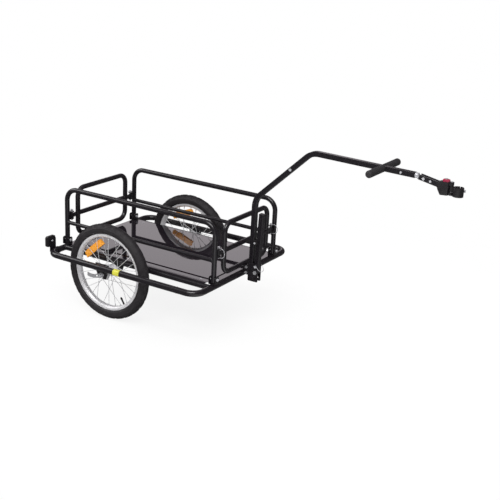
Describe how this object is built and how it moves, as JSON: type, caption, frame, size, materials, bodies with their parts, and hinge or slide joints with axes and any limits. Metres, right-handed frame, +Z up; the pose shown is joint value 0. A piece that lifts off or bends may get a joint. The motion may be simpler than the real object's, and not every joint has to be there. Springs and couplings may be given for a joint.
{
  "type": "bicycle cargo trailer",
  "caption": "Two-wheeled tube-frame bicycle cargo trailer with side rails, pinned end gates, a rising drawbar with hand grips, a folding parking leg and a swivelling seat-post hitch",
  "frame": {"origin": "On the ground under the middle of the overall box", "axes": "+X forward to the hitch, +Y to the trailer's left, +Z up"},
  "size_m": [1.6212, 0.7168, 0.7703],
  "materials": {
    "frame": "gloss black paint",
    "floor": "gloss black sheet",
    "silver": "bright zinc plate",
    "alloy": "satin",
    "moulded": "fine grain",
    "grip": "soft grip",
    "tyre": "worn satin",
    "tube": "butyl",
    "lever": "satin",
    "amber": "prismatic reflector",
    "red": "prismatic reflector",
    "button": "satin",
    "band": "reflective film"
  },
  "bodies": {
    "frame": {"outer_rail_left": "frame", "outer_rail_right": "frame", "front_tube": "frame", "rear_tube": "frame", "inner_rails": "frame", "cross_members": "frame", "floor_panel": "floor", "floor_rivets": "silver", "dropouts": "frame", "foot_brackets": "frame", "foot_bolts": "silver", "side_rail_left": "frame", "side_rail_right": "frame", "gate_front": "frame", "gate_rear": "frame", "gate_brackets": "frame", "lock_pins": "silver", "drawbar_bracket": "frame", "bracket_bolts": "silver", "drawbar_lower": "frame", "drawbar_upper": "frame", "drawbar_bolts": "silver", "hand_bar": "silver", "hand_grips": "grip", "parking_leg": "frame", "leg_foot": "moulded", "leg_clip": "moulded", "rear_reflector": "red", "reflector_bracket": "frame", "reflective_band": "band", "axle_left": "silver", "axle_right": "silver", "skewer_left": "silver", "skewer_right": "silver"},
    "wheel_left": {"tyre_left": "tyre", "inner_tube_left": "tube", "rim_left": "alloy", "spokes_left": "silver", "spoke_mark_left": "amber", "hub_left": "alloy"},
    "wheel_right": {"tyre_right": "tyre", "inner_tube_right": "tube", "rim_right": "alloy", "spokes_right": "silver", "spoke_mark_right": "amber", "hub_right": "alloy"},
    "lever_left": {"qr_lever_left": "lever"},
    "lever_right": {"qr_lever_right": "lever"},
    "wire_front_left_body": {"wire_front_left": "silver"},
    "wire_front_right_body": {"wire_front_right": "silver"},
    "wire_rear_left_body": {"wire_rear_left": "silver"},
    "wire_rear_right_body": {"wire_rear_right": "silver"},
    "wire_leg_body": {"wire_leg": "silver"},
    "swivel": {"swivel_eye": "silver"},
    "hitch": {"hitch_arm": "frame", "arm_pins": "silver", "hitch_head": "moulded"},
    "button": {"release_button": "button"},
    "clamp": {"post_clamp": "moulded", "clamp_bolt": "silver"}
  },
  "joints": [
    {"name": "wheel_left_spin", "type": "hinge", "parent": "frame", "child": "wheel_left", "pos_m": [-0.50787, 0.28, 0.198], "axis": [0, 1, 0], "continuous": true},
    {"name": "wheel_right_spin", "type": "hinge", "parent": "frame", "child": "wheel_right", "pos_m": [-0.50787, -0.28, 0.198], "axis": [0, 1, 0], "continuous": true},
    {"name": "lever_left_open", "type": "hinge", "parent": "frame", "child": "lever_left", "pos_m": [-0.50787, 0.3384, 0.198], "axis": [0, 0, -1], "range_deg": [0, 150]},
    {"name": "lever_right_open", "type": "hinge", "parent": "frame", "child": "lever_right", "pos_m": [-0.50787, -0.3384, 0.198], "axis": [0, 0, 1], "range_deg": [0, 150]},
    {"name": "wire_front_left_open", "type": "hinge", "parent": "frame", "child": "wire_front_left_body", "pos_m": [-0.04487, 0.193, 0.3811], "axis": [0, -1, 0], "range_deg": [0, 120]},
    {"name": "wire_front_right_open", "type": "hinge", "parent": "frame", "child": "wire_front_right_body", "pos_m": [-0.04487, -0.193, 0.3811], "axis": [0, -1, 0], "range_deg": [0, 120]},
    {"name": "wire_rear_left_open", "type": "hinge", "parent": "frame", "child": "wire_rear_left_body", "pos_m": [-0.77987, 0.193, 0.3811], "axis": [0, 1, 0], "range_deg": [0, 120]},
    {"name": "wire_rear_right_open", "type": "hinge", "parent": "frame", "child": "wire_rear_right_body", "pos_m": [-0.77987, -0.193, 0.3811], "axis": [0, 1, 0], "range_deg": [0, 120]},
    {"name": "wire_leg_open", "type": "hinge", "parent": "frame", "child": "wire_leg_body", "pos_m": [0.01476, -0.0172, 0.26698], "axis": [-0.7431, 0, -0.6691], "range_deg": [0, 100]},
    {"name": "swivel_roll", "type": "hinge", "parent": "frame", "child": "swivel", "pos_m": [0.63201, 0, 0.751], "axis": [0.9997, 0, -0.0244], "range_deg": [-90, 90]},
    {"name": "hitch_pitch", "type": "hinge", "parent": "swivel", "child": "hitch", "pos_m": [0.66588, 0, 0.74517], "axis": [0, -1, 0], "range_deg": [0, 45]},
    {"name": "clamp_yaw", "type": "hinge", "parent": "hitch", "child": "clamp", "pos_m": [0.76592, 0, 0.71924], "axis": [0, 0, 1], "range_deg": [-60, 60]},
    {"name": "button_press", "type": "slide", "parent": "hitch", "child": "button", "axis": [0, 0, -1], "range_m": [0, 0.004], "stiffness_N_per_m": 1500}
  ]
}
